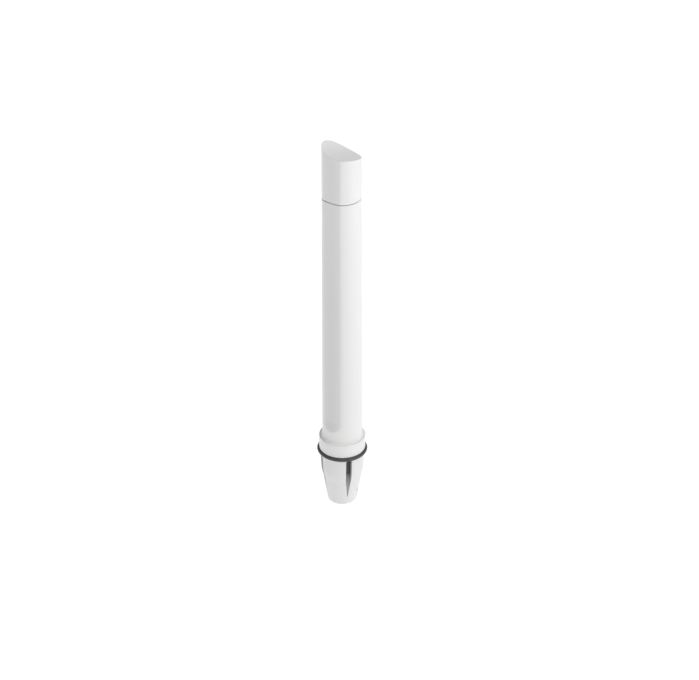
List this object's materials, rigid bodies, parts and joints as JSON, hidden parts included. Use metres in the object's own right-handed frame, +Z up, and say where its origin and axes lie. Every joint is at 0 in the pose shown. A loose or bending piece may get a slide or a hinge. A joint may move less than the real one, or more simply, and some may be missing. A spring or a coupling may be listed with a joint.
{
  "type": "omnidirectional antenna",
  "caption": "Slim upright omnidirectional antenna: a white radome with one crowned facet and a scooped cap, on a swivelling, slotted, tapered ferrule with a threaded bush.",
  "frame": {"origin": "centre of the ferrule's lower end face, on the pole's axis", "axes": "+Z up along the pole; the radome's facet faces -Y; +X is to the right when the facet is seen from the front"},
  "size_m": [0.0624, 0.0624, 0.4872],
  "materials": {
    "shell": "satin, UV-stable white moulding with a fine texture",
    "ferrule": "satin white moulded nylon",
    "black_plastic": "matt glass-filled nylon",
    "grey_plastic": "matt grey glass-filled nylon",
    "black_rubber": "matt moulded rubber",
    "grey_rubber": "matt cellular gasket",
    "stainless": "turned stainless steel",
    "black_steel": "black-oxide alloy steel",
    "nickel": "bright nickel plate on brass",
    "gilt": "gold-plated contact",
    "copper": "bare copper foil",
    "laminate": "glass-epoxy board with solder mask",
    "fluoropolymer": "waxy white fluoropolymer",
    "ferrite": "dull sintered ferrite",
    "coax_jacket": "smooth extruded jacket",
    "foam": "closed-cell foam"
  },
  "bodies": {
    "mount": {"mount_ferrule": "ferrule", "ferrule_core": "grey_plastic", "thread_bush": "stainless"},
    "antenna": {"radome_tube": "shell", "top_cap": "shell", "cap_gasket": "grey_rubber", "gasket_ring": "black_rubber", "base_plug": "black_plastic", "plug_seal_lower": "black_rubber", "plug_seal_upper": "black_rubber", "thrust_washer": "fluoropolymer", "retaining_clip": "stainless", "socket_body": "nickel", "socket_gasket": "black_rubber", "socket_lock_washer": "stainless", "socket_nut": "nickel", "socket_insulator": "fluoropolymer", "socket_contact": "gilt", "radiator_board": "laminate", "lower_dipole_bottom_arm": "copper", "lower_dipole_top_arm": "copper", "upper_dipole_bottom_arm": "copper", "upper_dipole_top_arm": "copper", "feed_strip": "copper", "feed_coax": "coax_jacket", "ferrite_choke": "ferrite", "board_foot": "black_plastic", "board_screw_left": "stainless", "board_screw_right": "stainless", "foam_spacer_low": "foam", "foam_spacer_middle": "foam", "foam_spacer_high": "foam", "top_damper": "foam"},
    "lock": {"lock_screw": "black_steel"}
  },
  "joints": [
    {"name": "antenna_swivel", "type": "hinge", "parent": "mount", "child": "antenna", "pos_m": [0, 0, 0.037], "axis": [0, 0, 1], "continuous": true},
    {"name": "lock_screw_travel", "type": "slide", "parent": "mount", "child": "lock", "axis": [0.9823, 0.1874, 0], "range_m": [-0.0013, 0.004]}
  ]
}
